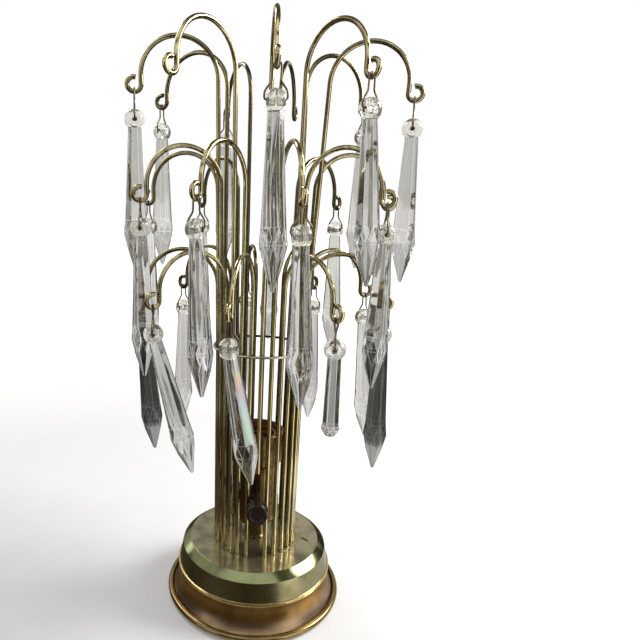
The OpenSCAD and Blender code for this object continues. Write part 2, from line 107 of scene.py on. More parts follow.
# The scratch on the plate: its ends and width in millimetres, and the share of the plate's colour in it.
# Its edge fades between two squared distances from its middle, where 1 is its outline.
SCRATCH = ((34.9, -4.5), (40.9, -10.5), 2.4, 0.1)
SCRATCH_FADE = (0.3, 1.2)

# Aged brass: scale of the specks, the middle and half width of the change from dark to bright, pitch in
# millimetres and share of the turning marks, height of the grain in millimetres, and how far from square to
# the axis a side still blends between the painted shade on sides that face the lamp's axis and the rest
SPECK_SCALE = 1400
TARNISH_MIDDLE = 0.425
TARNISH_HALF = 0.18
TURNING_PITCH = 0.9
TURNING_SHARE = 0.8
BRASS_GRAIN = 0.012
INSIDE_SHADE_BLEND = 0.4

# The skirt's brass: heights between which the flare's painted reflection turns to the wall's gold and the
# wave in that line, in millimetres, the share of specks, and the range and roughness of its tarnish
FLARE_TO_WALL = (9.5, 14.5)
WALL_WAVE = 2.5
SKIRT_FLECKS = 0.3
SKIRT_TARNISH = (0.42, 0.78)
SKIRT_ROUGHNESS = (0.42, 0.3)

# Rods and hoop, in millimetres and degrees
ROD_R = 1.5
ROD_CIRCLE_R = 29.0
ROD_LEAN = 0.45
ROD_COUNT = 27
HOOP_H = 147.0

# Solder, in millimetres: radius and height of the lumps at the rods' feet and how far they vary, those of the
# lumps at the hoop and how far they stand out, and how uneven a lump is
FOOT_LUMP = (1.9, 0.8)
FOOT_LUMP_SPREAD = (0.35, 0.3)
HOOP_LUMP = (1.0, 0.9)
HOOP_LUMP_OUT = 0.2
LUMP_DEPTH = 0.22
LUMP_SCALE = 1.7
LUMP_STEP = (3.1, 1.3)

# Prisms, in millimetres, with tapers as shares of a spear's width
BALL_R = 6.35
HEAD_W = 9.7
FLAT_BACK = 0.35
HOLE_R = 1.5
RIM_CUT = 0.6
STAIN_DEPTH = 2.2
PLUG_HALF = 0.3
PIN_RISE = 0.8
FACETS = 8
NECK_W = 8.0
NECK_DROP = BALL_R / 2
SHAFT_TAPER = 0.92
GIRDLE_TAPER = 0.77
EDGE_BEVEL = 0.28
SPEAR = {"width": 14.5, "length": 71.0, "girdle": 9.0, "tip": 16.0, "end": 2.0}
BLUNT = {"width": 10.5, "length": 48.0, "girdle": 2.0, "tip": 2.5, "end": 5.0}
END_MARGIN = 0.02
BLUNT_NODE = "short_prism_1"
# Two prisms in glass painted nearly black: painted shade for the dark seen through them
PAINTED_DARK_NODES = ("short_prism_2", "short_prism_7")

# Prisms, in degrees: gap between ball and flat, least angle of a bevelled edge, angle that parts two facets
BALL_GAP = 3
BEVELLED_ANGLE = 3
FACET_ANGLE = 14

# A prism's finishes in the order of its materials
PRISM_FINISHES = ("glass", "stain", "head", "edge")

# Cut glass: where a dark spear's point begins and over what length it turns pale, in millimetres, and which
# way edges look that get a painted highlight, and how closely for the first and for the full effect
GLASS_IOR = 1.48
TIP_DROP = SPEAR["length"] + 5.0
TIP_BLEND = 2.0
GLINT_TOWARD = Vector((-0.77, -0.6, 0.2))
GLINT_FACING = (0.7, 0.95)

# The prism with a painted coloured sheen: which way its painted sheen facet looks, and which way and how
# closely the edges look that get painted highlights as bright lines on its shaft and on its point
SHEEN_NODE = "short_prism_9"
SHEEN_TOWARD = Vector((0.7, -0.7, 0.0))
SAME_FACET = 0.999
SHAFT_HIGHLIGHTS = (Vector((0.0, -1.0, 0.0)), 0.3)
POINT_HIGHLIGHTS = (Vector((-0.87, -0.5, 0.0)), 0.72)

# The painted sheen from the shaft's lower end, 0, to its upper end, 1: its colours, and the light that
# goes through
SHEEN_BAND = (
    (0.0, (0.52, 0.80, 0.58)), (0.34, (0.62, 0.84, 0.70)), (0.52, (0.60, 0.64, 0.78)),
    (0.66, (0.92, 0.55, 0.58)), (0.77, (0.92, 0.72, 0.40)), (0.86, (0.75, 0.75, 0.72)))
SHEEN_FADE = (0.76, 0.9)
SHEEN_THROUGH = (0.4, 0.95)
SHEEN_ROUGHNESS = 0.15

# Wire links, in millimetres: wire, bend over the hook's eye, legs beside the ball and where they spread
LINK_R = 0.55
LINK_BEND_R = 2.2
LINK_BEND_STEPS = 10
LEG_OUT = 5.9
PIN_IN = 1.35
KNEE_RISE = 8.9
ELBOW_RISE = 4.0
LEG_EASE = 1.6
TIERS = ("tall", "middle", "short")

# Where a prism's own link is found among its tier's, in millimetres: sideways from the prism's hole, over it,
# and over or under the eye's middle
LINK_REACH = 9.0
LINK_TOP = 25.0
EYE_BAND = 0.6

# A path's corner takes at most a side's length divided by this
SIDE_SHARE = 2.1

# Switch knob, in millimetres from the lamp's axis
KNOB_Z = 81.5
KNOB_R = 7.6
KNOB_START = 32.8
KNOB_T = 10.0
KNOB_ROUND = 1.8
KNOB_RIM_W = 2.6
KNOB_SLOPE_W = 0.4
KNOB_DISH = 0.35
STEM_R = 3.5
STEM_START = 18.4
SHAFT_R = 1.65
SHAFT_END = 37.9

# Stage, in metres and degrees: even light of the world, own light of the floor near and far from the lamp,
# the floor's size and colours, and the room
WORLD_LIGHT = 0.38
FLOOR_GLOW = (0.12, 1.0)
FLOOR_GLOW_AT = (0.35, 1.6)
FLOOR_SIDE = 8.0
FLOOR_DARK = (0.79, 0.79, 0.79)
FLOOR_BRIGHT = (0.81, 0.81, 0.81)
ROOM_R = 1.5
ROOM_H = 1.3
TABLE_Z = 0.002
TABLE_HOLE_R = 0.067
ROOF_HOLE_R = 0.01
SKYLIGHT_R = (0.35, 1.1)
WINDOW_IN = 0.01
CARD_STEP = 4

# Colour and strength of the cards that the metal mirrors
CARDS = {
    "dark": ((0.045, 0.038, 0.03), 1.0),
    "roof": ((0.12, 0.11, 0.095), 1.0),
    "dim": ((0.42, 0.42, 0.39), 1.0),
    "pale": ((0.6, 0.6, 0.58), 1.0),
    "window": ((0.9, 0.97, 1.0), 2.6),
    "paper": ((0.9, 0.9, 0.88), 1.0),
    "strip": ((1.0, 0.97, 0.9), 1.8),
    "mauve": ((0.22, 0.185, 0.17), 1.0),
    "table": ((0.085, 0.068, 0.045), 1.0),
}

# Walls: azimuths from and to, heights from and to, card
WALLS = {
    "right": (-25, 40, 0.0, ROOM_H, "dark"),
    "back": (40, 118, 0.0, 0.3, "dark"),
    "back_high": (40, 150, 0.3, ROOM_H, "pale"),
    "back_left": (118, 150, 0.0, 0.3, "dim"),
    "left": (150, 203, 0.0, 0.75, "dark"),
    "left_high": (150, 203, 0.75, ROOM_H, "pale"),
    "front": (224, 300, 0.0, 0.42, "dark"),
    "strip": (304, 328, 0.0, 0.8, "strip"),
    "front_high": (228, 300, 0.42, 0.85, "mauve"),
}

# Table and ceiling: azimuths from and to, radii from and to, card
TABLES = {
    "near": (50, 300, TABLE_HOLE_R, 0.25, "table"),
    "right": (-60, 50, TABLE_HOLE_R, 0.16, "paper"),
    "far": (-25, 300, 0.25, ROOM_R, "table"),
    "strip": (304, 328, 0.17, ROOM_R, "strip"),
}
ROOFS = {
    "back": (-42, 160, ROOF_HOLE_R, ROOM_R, "roof"),
    "left": (160, 200, ROOF_HOLE_R, 0.9, "roof"),
    "left_outer": (160, 200, 0.9, ROOM_R, "pale"),
    "front": (200, 318, ROOF_HOLE_R, SKYLIGHT_R[0], "roof"),
    "front_outer": (200, 318, SKYLIGHT_R[1], ROOM_R, "roof"),
}

# The window at the left end of the back wall: azimuths from and to, heights from and to
WINDOW = (138, 149, 0.46, 0.68)

# Lights: place and size in metres, power in watts, colour. They face a point on the lamp's axis.
LIGHTS = {
    "key": ((0.86, 0.14, 0.76), (0.55, 0.45), 13.0, (1.0, 0.99, 0.97)),
    "back": ((-0.6, 0.64, 1.05), (0.25, 0.5), 3.5, (1.0, 1.0, 1.0)),
}
LIGHTS_AIM = (0, 0, 0.18)


class Shader:
    """A material's node tree, with short ways to add nodes to it."""

    def __init__(self, name, **sockets):
        self.material = bpy.data.materials.new(name)
        self.material.use_nodes = True
        self.tree = self.material.node_tree
        self.surface = self.tree.nodes["Principled BSDF"]
        self.fill(self.surface, {key.replace("_", " "): value for key, value in sockets.items()})
        self.coords = self.add("TexCoord").outputs["Object"]

    def fill(self, node, inputs):
        """Sets a node's inputs to numbers or colours, or links them to other nodes' outputs."""
        for key, value in inputs.items():
            if isinstance(value, bpy.types.NodeSocket):
                self.tree.links.new(value, node.inputs[key])
            else:
                node.inputs[key].default_value = value

    def add(self, kind, inputs=None, **settings):
        """A new node with its settings and inputs."""
        node = self.tree.nodes.new("ShaderNode" + kind)
        for key, value in settings.items():
            setattr(node, key, value)
        self.fill(node, inputs or {})
        return node

    def noise(self, scale, detail, stretch=(1, 1, 1)):
        """Noise over the surface, with features of about one over scale metres."""
        places = self.add("Mapping", {"Vector": self.coords, "Scale": stretch}).outputs[0]
        return self.add("TexNoise", {"Vector": places, "Scale": scale, "Detail": detail}).outputs[0]

    def ramp(self, factor, *stops):
        """Colours along a factor: (place, colour) pairs."""
        node = self.add("ValToRGB", {"Fac": factor})
        ends = node.color_ramp.elements
        for place, _ in stops[1:-1]:
            ends.new(place)
        for end, (place, colour) in zip(ends, stops):
            end.position = place
            end.color = (*colour, 1.0)
        return node.outputs[0]

    def remap(self, value, start, end, low=0.0, high=1.0, smooth=False):
        """A number from low to high as a value goes from start to end."""
        return self.add("MapRange", {"Value": value, "From Min": start, "From Max": end, "To Min": low,
                                     "To Max": high},
                        interpolation_type="SMOOTHSTEP" if smooth else "LINEAR").outputs[0]

    def between(self, factor, low, high):
        """A factor of 0 to 1 as a number from low to high."""
        return self.remap(factor, 0.0, 1.0, low, high)

    def sum(self, first, second, share=1.0):
        """The first value plus a share of the second."""
        return self.add("Math", {0: second, 1: share, 2: first}, operation="MULTIPLY_ADD").outputs[0]

    def dot(self, first, second):
        """The dot product of two vectors."""
        return self.add("VectorMath", {0: first, 1: second}, operation="DOT_PRODUCT").outputs["Value"]

    def facing(self, way):
        """How far the surface looks one way: 1 along it, -1 against it."""
        return self.dot(self.add("NewGeometry").outputs["Normal"], way)

    def height(self):
        """How high a point lies in its piece, in metres."""
        return self.add("SeparateXYZ", {0: self.coords}).outputs["Z"]

    def mix(self, share, first, second):
        """The first colour, with a share of the second in its place."""
        return self.add("MixRGB", {"Fac": share, "Color1": first, "Color2": second}).outputs[0]

    def dimmed(self, colour, share):
        """A share of a colour."""
        return self.add("VectorMath", {0: colour, "Scale": share}, operation="SCALE").outputs[0]

    def bump(self, height, depth):
        """Raises the surface by height times depth, in metres."""
        node = self.add("Bump", {"Height": height, "Distance": depth, "Strength": 1.0})
        self.fill(self.surface, {"Normal": node.outputs[0]})

    def painted_inside_shade(self, colour, share):
        """The colour, darkened to a share of itself on sides that face the lamp's axis: painted shade."""
        level = self.add("VectorMath", {0: self.coords, 1: (1, 1, 0)}, operation="MULTIPLY").outputs[0]
        out = self.add("VectorMath", {0: level}, operation="NORMALIZE").outputs[0]
        kept = self.remap(self.facing(out), -INSIDE_SHADE_BLEND, INSIDE_SHADE_BLEND, share, 1.0, smooth=True)
        return self.dimmed(colour, kept)

    def scratched(self, colour, start, end, width, share):
        """The colour, darkened to a share of itself along a scratch between two (x, y) in millimetres."""
        first, last = Vector((*start, PLATE_H)), Vector((*end, PLATE_H))
        along = (last - first).normalized()
        across = Vector((-along.y, along.x, 0.0))
        middle = (first + last) / 2 * MM
        away = self.add("VectorMath", {0: self.coords, 1: middle}, operation="SUBTRACT").outputs[0]
        squares = []
        for way, half in ((along, (last - first).length / 2), (across, width / 2)):
            place = self.dot(away, way / (half * MM))
            squares.append(self.add("Math", {0: place, 1: 2.0}, operation="POWER").outputs[0])
        kept = self.remap(self.sum(*squares), *SCRATCH_FADE, share, 1.0, smooth=True)
        return self.dimmed(colour, kept)

    def grooves(self, rings):
        """Turning marks: rings round the lamp's axis, or bands up along it."""
        # A wave texture of scale 1 repeats every 2 pi / 20 metres
        wave_length = 2 * math.pi / 20
        kind = {"wave_type": "BANDS", "bands_direction": "Z"}
        if rings:
            kind = {"wave_type": "RINGS", "rings_direction": "Z"}
        return self.add("TexWave", {"Vector": self.coords, "Scale": wave_length / (TURNING_PITCH * MM),
                                    "Distortion": 0.3, "Detail": 2.0}, **kind).outputs[1]


def brass(name, bright, dark, roughness, patch=90, streaks=(1, 1, 1), rings=None, grain=BRASS_GRAIN,
          inside_shade=None, metallic=1.0, scratch=None, flecks=0.35):
    """Aged brass: patches of patina, a share of fine flecks, and turning marks if rings says which way they
    go. The share given for sides that face the lamp's axis darkens them there, as painted shade."""
    s = Shader(name, Metallic=metallic)
    patches = s.noise(patch, detail=6.0, stretch=streaks)
    specks = s.noise(SPECK_SCALE, detail=3.0)
    tarnish = s.sum(patches, specks, flecks)
    middle = TARNISH_MIDDLE + flecks / 2
    colour = s.ramp(tarnish, (middle - TARNISH_HALF, dark), (middle + TARNISH_HALF, bright))
    if inside_shade is not None:
        colour = s.painted_inside_shade(colour, inside_shade)
    if scratch is not None:
        colour = s.scratched(colour, *scratch)
    s.fill(s.surface, {"Base Color": colour, "Roughness": s.between(tarnish, roughness[1], roughness[0])})
    height = specks
    if rings is not None:
        height = s.sum(specks, s.grooves(rings), TURNING_SHARE)
    s.bump(height, grain * MM)
    return s.material


def skirt_brass(wall, flare_reflection):
    """The skirt's brass: a golden wall, and a painted reflection of the room on the flare; each (bright,
    dark).
    """
    s = Shader("skirt_brass", Metallic=1.0)
    patches = s.noise(scale=70, detail=6.0, stretch=(1, 1, 0.5))
    specks = s.noise(SPECK_SCALE, detail=3.0)
    tarnish = s.sum(patches, specks, SKIRT_FLECKS)
    wavy = s.sum(s.height(), patches, WALL_WAVE * MM)
    on_wall = s.remap(wavy, FLARE_TO_WALL[0] * MM, FLARE_TO_WALL[1] * MM, smooth=True)
    colours = [s.ramp(tarnish, (SKIRT_TARNISH[0], dark), (SKIRT_TARNISH[1], bright))
               for bright, dark in (flare_reflection, wall)]
    s.fill(s.surface, {"Base Color": s.mix(on_wall, *colours),
                       "Roughness": s.between(tarnish, *SKIRT_ROUGHNESS)})
    s.bump(s.sum(specks, s.grooves(rings=False), TURNING_SHARE), BRASS_GRAIN * MM)
    return s.material


def plain(name, bright, dark, roughness, scale, depth, metallic=0.0, stretch=(1, 1, 1)):
    """A finish with a grain of one scale, its depth in millimetres."""
    s = Shader(name, Metallic=metallic)
    grain = s.noise(scale, detail=5.0, stretch=stretch)
    s.fill(s.surface, {"Base Color": s.ramp(grain, (0.35, dark), (0.65, bright)),
                       "Roughness": s.between(grain, roughness[0], roughness[1])})
    s.bump(grain, depth * MM)
    return s.material


def crystal(name, clear, dull, haze=(0.05, 0.12), through=1.0, painted_lit=None, tip=None):
    """Cut glass with faint handling marks, tinted between two greys, with a share of light that goes through.
    The share for faces that look toward the glint's way is smaller, a painted highlight, and tip is the
    colour of a spear's point."""
    s = Shader(name, Transmission_Weight=through, IOR=GLASS_IOR)
    smears = s.noise(scale=60, detail=5.0, stretch=(1, 1, 0.4))
    colour = s.ramp(smears, (0.3, dull), (0.7, clear))
    if tip is not None:
        on_tip = s.remap(s.height(), -TIP_DROP * MM, -(TIP_DROP + TIP_BLEND) * MM)
        colour = s.mix(on_tip, colour, (*tip, 1.0))
    s.fill(s.surface, {"Base Color": colour, "Roughness": s.between(smears, *haze)})
    if painted_lit is not None:
        share = s.remap(s.facing(GLINT_TOWARD), *GLINT_FACING, through, painted_lit, smooth=True)
        s.fill(s.surface, {"Transmission Weight": share})
    return s.material


def painted_sheen_glass(name, top, bottom):
    """Cut glass with a painted sheen, a band of rainbow colour, between two heights of the prism in
    millimetres.
    """
    s = Shader(name, IOR=GLASS_IOR, Roughness=SHEEN_ROUGHNESS)
    share = s.remap(s.height(), bottom * MM, top * MM)
    s.fill(s.surface, {"Base Color": s.ramp(share, *SHEEN_BAND),
                       "Transmission Weight": s.remap(share, *SHEEN_FADE, *SHEEN_THROUGH)})
    return s.material


def finishes():
    """Every material of the lamp, by its place on a piece. Each has a bright and a dark colour, brass and
    plain finishes then have roughness, and plain ones the scale and depth of their grain."""
    return {
        "plate": brass("plate_brass", (0.41, 0.366, 0.225), (0.17, 0.152, 0.105), (0.12, 0.21), rings=True,
                       metallic=0.75, scratch=SCRATCH),
        # The bevel's greenish colour is a painted reflection of greenish surroundings
        "bevel": brass("bevel_painted_reflection", (0.285, 0.305, 0.148), (0.21, 0.225, 0.108), (0.12, 0.2), rings=True),
        "drum": brass("drum_brass", (0.32, 0.29, 0.16), (0.19, 0.17, 0.085), (0.22, 0.33), rings=False),
        "lip": brass("lip_brass", (0.85, 0.65, 0.28), (0.55, 0.4, 0.165), (0.16, 0.26)),
        # The flare's pinkish colours are a painted reflection of the room that it faces
        "skirt": skirt_brass(((0.50, 0.31, 0.10), (0.30, 0.17, 0.05)),
                             ((0.42, 0.29, 0.19), (0.27, 0.18, 0.11))),
        "rim": brass("rim_brass", (0.35, 0.255, 0.113), (0.21, 0.15, 0.064), (0.2, 0.32)),
        # Rods and hoop get painted shade on their sides that face the lamp's axis
        "rod": brass("rod_brass", (0.68, 0.59, 0.33), (0.26, 0.21, 0.105), (0.1, 0.2), patch=260,
                     streaks=(1, 1, 0.12), grain=0.0015, inside_shade=0.32, flecks=0.12),
        "wire": brass("wire_brass", (0.24, 0.19, 0.13), (0.10, 0.075, 0.05), (0.25, 0.4), patch=400),
        "hoop": brass("hoop_brass", (0.66, 0.59, 0.49), (0.42, 0.37, 0.3), (0.2, 0.35), patch=400,
                      inside_shade=0.1),
        "neck": brass("neck_brass", (0.15, 0.127, 0.061), (0.08, 0.066, 0.031), (0.18, 0.32)),
        "socket": brass("socket_brass", (0.30, 0.19, 0.075), (0.10, 0.062, 0.025), (0.2, 0.36), patch=160),
        "screw": brass("screw_brass", (0.42, 0.24, 0.10), (0.2, 0.1, 0.04), (0.25, 0.4), patch=200),
        "solder": plain("solder", (0.34, 0.33, 0.27), (0.14, 0.12, 0.08), (0.3, 0.5), 900, 0.06,
                        metallic=1.0),
        "fibre": plain("fibre", (0.30, 0.12, 0.045), (0.17, 0.06, 0.02), (0.6, 0.85), 700, 0.05),
        "phenolic": plain("phenolic", (0.05, 0.04, 0.035), (0.025, 0.02, 0.018), (0.4, 0.55), 500, 0.02),
        "knob": plain("knob_phenolic", (0.028, 0.017, 0.014), (0.014, 0.009, 0.008), (0.08, 0.16), 300,
                      0.004),
        "steel": plain("steel", (0.55, 0.54, 0.52), (0.38, 0.37, 0.36), (0.28, 0.42), 800, 0.01, metallic=1.0,
                       stretch=(1, 1, 0.1)),
        "iron": plain("iron", (0.12, 0.115, 0.11), (0.06, 0.056, 0.053), (0.7, 0.9), 350, 0.15),
        "bush": plain("bush", (0.03, 0.03, 0.03), (0.016, 0.016, 0.016), (0.45, 0.6), 600, 0.02),
        "felt": plain("felt", (0.11, 0.14, 0.075), (0.06, 0.08, 0.04), (0.9, 1.0), 1500, 0.2),
        "crystal": crystal("crystal", (0.535, 0.52, 0.487), (0.415, 0.402, 0.375)),
        # Glass painted nearly black, painted shade for the dark seen through it, with a paler point
        "painted_dark": crystal("crystal_painted_dark", (0.06, 0.06, 0.056), (0.035, 0.035, 0.033), tip=(0.26, 0.26, 0.25)),
        "grey": crystal("crystal_grey", (0.3, 0.3, 0.28), (0.2, 0.2, 0.185)),
        "head": crystal("crystal_head", (0.92, 0.9, 0.84), (0.8, 0.78, 0.7), haze=(0.05, 0.13), through=0.83),
        # Bevels in paler, bluish glass: a painted highlight, strongest toward the glint's way
        "edge": crystal("crystal_edge", (0.82, 0.86, 0.89), (0.68, 0.71, 0.74), haze=(0.08, 0.18),
                        through=0.94, painted_lit=0.45),
        # Edges in whiter, less clear glass: a painted highlight
        "painted_highlight_edge": crystal("painted_highlight_edge", (0.95, 0.95, 0.93), (0.82, 0.82, 0.8), haze=(0.1, 0.2),
                               through=0.5),
        "sheen": painted_sheen_glass("crystal_sheen", -NECK_DROP, SPEAR["girdle"] - SPEAR["length"]),
        "painted_dark_edge": crystal("painted_dark_edge", (0.2, 0.2, 0.195), (0.13, 0.13, 0.125), haze=(0.1, 0.2),
                              through=0.95),
        "stain": plain("hole_stain", (0.10, 0.055, 0.025), (0.03, 0.017, 0.008), (0.5, 0.8), 900, 0.02),
    }


def dress(node, material):
    """Gives a CAD node its material."""
    slots = NODES[node].data.materials
    slots.clear()
    slots.append(material)


def mesh_object(name, bm, materials, sharp):
    """A new object from a bmesh, shaded smooth up to an angle in degrees."""
    mesh = bpy.data.meshes.new(name)
    bm.to_mesh(mesh)
    bm.free()
    for material in materials:
        mesh.materials.append(material)
    mesh.shade_smooth()
    mesh.set_sharp_from_angle(angle=math.radians(sharp))
    piece = bpy.data.objects.new(name, mesh)
    bpy.context.scene.collection.objects.link(piece)
    return piece


def arc(centre, radius, start, end, steps):
    """Points of an arc about a centre, angles in degrees."""
    angles = [math.radians(start + (end - start) * i / steps) for i in range(steps + 1)]
    return [(centre[0] + radius * math.cos(a), centre[1] + radius * math.sin(a)) for a in angles]


def bend(first, corner, last, steps):
    """Points of a smooth bend between two points, which leaves both toward the corner."""
    shares = [step / steps for step in range(steps + 1)]
    return [first.lerp(corner, t).lerp(corner.lerp(last, t), t) for t in shares]


def rounded(corners, steps=4):
    """A closed outline of (radius, height, fillet), with its corners rounded by their fillets."""
    points = [Vector((r, h)) for r, h, _ in corners]
    out = []
    for i, (corner, (*_, fillet)) in enumerate(zip(points, corners)):
        before = (points[i - 1] - corner).normalized()
        after = (points[(i + 1) % len(points)] - corner).normalized()
        half = before.angle(after) / 2
        if fillet == 0 or half > math.radians(FLAT_CORNER):
            out.append(tuple(corner))
            continue
        back = fillet / math.tan(half)
        out += [tuple(point) for point in bend(corner + before * back, corner, corner + after * back, steps)]
    return out


def lathe(outline, segments, axis="Z", order=None, finish=None):
    """A closed outline of (radius, height) in millimetres, turned round an axis. finish names a band's finish
    from the radius and height of its middle, and order lists the finishes as the piece's materials come."""
    bm = bmesh.new()
    rows = []
    for r, h in outline:
        row = []
        for i in range(segments):
            a = 2 * math.pi * i / segments
            x, y = r * math.cos(a) * MM, r * math.sin(a) * MM
            row.append(bm.verts.new((x, y, h * MM) if axis == "Z" else (y, h * MM, x)))
        rows.append(row)
    for j in range(len(rows)):
        k = (j + 1) % len(rows)
        middle = [(start + end) / 2 for start, end in zip(outline[j], outline[k])]
        index = order.index(finish(*middle)) if finish else 0
        for i in range(segments):
            n = (i + 1) % segments
            face = bm.faces.new((rows[j][i], rows[j][n], rows[k][n], rows[k][i]))
            face.material_index = index
    bmesh.ops.recalc_face_normals(bm, faces=bm.faces)
    return bm


def make_skirt(looks):
    """The spun skirt: a lip, an upright wall, a flare and a rolled bead."""
    top_r = DRUM_FOOT_R + LIP_W
    bead = (RIM_R - BEAD_R, RIM_LIFT + BEAD_R)
    wide = bead[0] - top_r
    cove_r = (wide * wide + FLARE_H * FLARE_H) / (2 * wide)
    centre = (top_r + cove_r, bead[1] + FLARE_H)
    foot_angle = 180 + math.degrees(math.asin(FLARE_H / cove_r))
    lip = [(top_r - LIP_CHAMFER, SKIRT_H), (top_r, SKIRT_H - LIP_CHAMFER), (top_r, SKIRT_H - LIP_EDGE),
           (top_r - WALL_BACK, SKIRT_H - WALL_DROP)]
    wall = arc(centre, cove_r + WALL_BACK, 180, foot_angle - BEAD_GAP, steps=24)
    roll = arc(bead, BEAD_R, *BEAD_ARC, steps=26)
    inner = arc(centre, cove_r + SHEET, foot_angle - BEAD_GAP, 180, steps=16)
    flange = [(top_r - SHEET, SKIRT_H - SHEET), (SKIRT_IN_R, SKIRT_H - SHEET), (SKIRT_IN_R, SKIRT_H)]
    outline = lip + wall + roll + inner + flange

    def finish(_, z):
        if z > SKIRT_H - LIP_FINISH:
            return "lip"
        return "rim" if z < bead[1] + BEAD_R else "skirt"

    order = ("skirt", "lip", "rim")
    bm = lathe(outline, FOOT_SEGMENTS, order=order, finish=finish)
    piece = mesh_object("spun_skirt", bm, [looks[k] for k in order], sharp=35)
    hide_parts("base_skirt")
    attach(piece, LAMP)


def make_drum(looks):
    """The drum with its bevelled plate, the scored line outside the rods and the lip on the skirt."""
    top_r = DRUM_FOOT_R + LIP_W
    low = PLATE_H - SHEET
    score_end = SCORE_R + SCORE_W
    outline = rounded([
        (STEM_HOLE_R, PLATE_H, 0), (SCORE_R, PLATE_H, 0), (SCORE_R, PLATE_H - SCORE_T, 0),
        (score_end, PLATE_H - SCORE_T, 0), (score_end, PLATE_H, 0),
        (PLATE_R, PLATE_H, 0.5), (DRUM_TOP_R, PLATE_H - BEVEL_H, 0.6), (DRUM_FOOT_R, SKIRT_H + LIP_H, 0.5),
        (top_r, SKIRT_H + LIP_H, 0.35), (top_r, SKIRT_H, 0.3), (DRUM_FOOT_R - SHEET, SKIRT_H, 0),
        (DRUM_TOP_R - SHEET, PLATE_H - BEVEL_H - SHEET / 2, 0), (PLATE_R - SHEET / 2, low, 0),
        (STEM_HOLE_R, low, 0)])

    def finish(r, z):
        if z > PLATE_H - SCORE_T - NEAR and SCORE_R - NEAR < r < score_end + NEAR:
            return "drum"
        if r < PLATE_R:
            return "plate"
        if z > PLATE_H - BEVEL_H + BEVEL_MARGIN:
            return "bevel"
        return "lip" if z < SKIRT_H + LIP_H + LIP_MARGIN and r > DRUM_FOOT_R else "drum"

    order = ("plate", "bevel", "drum", "lip")
    bm = lathe(outline, FOOT_SEGMENTS, order=order, finish=finish)
    piece = mesh_object("plate_drum", bm, [looks[k] for k in order], sharp=28)
    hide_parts("base_drum")
    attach(piece, LAMP)


def make_knob(looks):
    """The turn knob: a stem, and a head with rounded edges and a dished face."""
    end = KNOB_START + KNOB_T
    rim_r = KNOB_R - KNOB_RIM_W
    corners = [
        (SHAFT_R, STEM_START, 0), (STEM_R, STEM_START, 0.5), (STEM_R, KNOB_START, 0.8),
        (KNOB_R, KNOB_START, 1.2), (KNOB_R, end, KNOB_ROUND), (rim_r, end, 0.3),
        (rim_r - KNOB_SLOPE_W, end - KNOB_DISH, 0.2), (AXIS_R, end - KNOB_DISH, 0),
        (AXIS_R, SHAFT_END, 0), (SHAFT_R, SHAFT_END, 0)]
    outline = rounded([(r, -y, fillet) for r, y, fillet in corners], steps=6)
    bm = lathe(outline, segments=96, axis="Y")
    bmesh.ops.translate(bm, verts=bm.verts, vec=(0, 0, KNOB_Z * MM))
    piece = mesh_object("turn_knob", bm, [looks["knob"]], sharp=40)
    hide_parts("switch_knob")
    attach(piece, KNOB)


def head_mesh():
    """The prism's head: a ball with two flat sides and a drilled hole along y, clogged with grime in its
    middle. The hole is stained near its ends and on the clog."""
    half = HEAD_W / 2
    flat_r = math.sqrt(BALL_R ** 2 - half ** 2)
    edge = math.degrees(math.asin(half / BALL_R))
    ball = arc((0, 0), BALL_R, edge - BALL_GAP, BALL_GAP - edge, steps=30)
    side = [(flat_r - FLAT_BACK, half), (HOLE_R + RIM_CUT, half), (HOLE_R, half - RIM_CUT),
            (HOLE_R, half - STAIN_DEPTH), (HOLE_R, PLUG_HALF), (AXIS_R, PLUG_HALF)]
    outline = ball + [(r, -y) for r, y in side] + list(reversed(side))

    def finish(r, y):
        on_plug = r < HOLE_R - NEAR
        near_end = r < HOLE_R + NEAR and half - abs(y) < STAIN_DEPTH
        return "stain" if on_plug or near_end else "head"

    return lathe(outline, segments=64, axis="Y", order=PRISM_FINISHES, finish=finish)


def facet_ring(bm, width, drop, share):
    """One ring of a spear's corners, width across flats, turned by a share of a facet."""
    r = width / 2 / math.cos(math.pi / FACETS) * MM
    angles = [(i + share) * 2 * math.pi / FACETS for i in range(FACETS)]
    return [bm.verts.new((r * math.cos(a), r * math.sin(a), -drop * MM)) for a in angles]


def spear_mesh(width, length, girdle, tip, end):
    """The cut spear under the head, with fine bevels along its edges."""
    bm = bmesh.new()
    neck = facet_ring(bm, NECK_W, NECK_DROP, share=0.5)
    over = facet_ring(bm, width * SHAFT_TAPER, length - girdle, share=0.5)
    shoulder = facet_ring(bm, width, length, share=0)
    under = facet_ring(bm, width * GIRDLE_TAPER, length + girdle, share=0.5)
    point = facet_ring(bm, end, length + girdle + tip, share=0.5)
    bm.faces.new(list(reversed(neck)))
    bm.faces.new(point)
    for i in range(FACETS):
        n = (i + 1) % FACETS
        bm.faces.new((neck[i], neck[n], over[n], over[i]))
        bm.faces.new((over[i], shoulder[n], shoulder[i]))
        bm.faces.new((over[i], over[n], shoulder[n]))
        bm.faces.new((shoulder[i], shoulder[n], under[i]))
        bm.faces.new((shoulder[n], under[n], under[i]))
        bm.faces.new((under[i], under[n], point[n], point[i]))
    bmesh.ops.recalc_face_normals(bm, faces=bm.faces)
    edges = [e for e in bm.edges if e.calc_face_angle(0) > math.radians(BEVELLED_ANGLE)]
    bmesh.ops.bevel(bm, geom=edges, offset=EDGE_BEVEL * MM, segments=2, profile=0.5, affect="EDGES",
                    clamp_overlap=True, material=PRISM_FINISHES.index("edge"))
    return bm


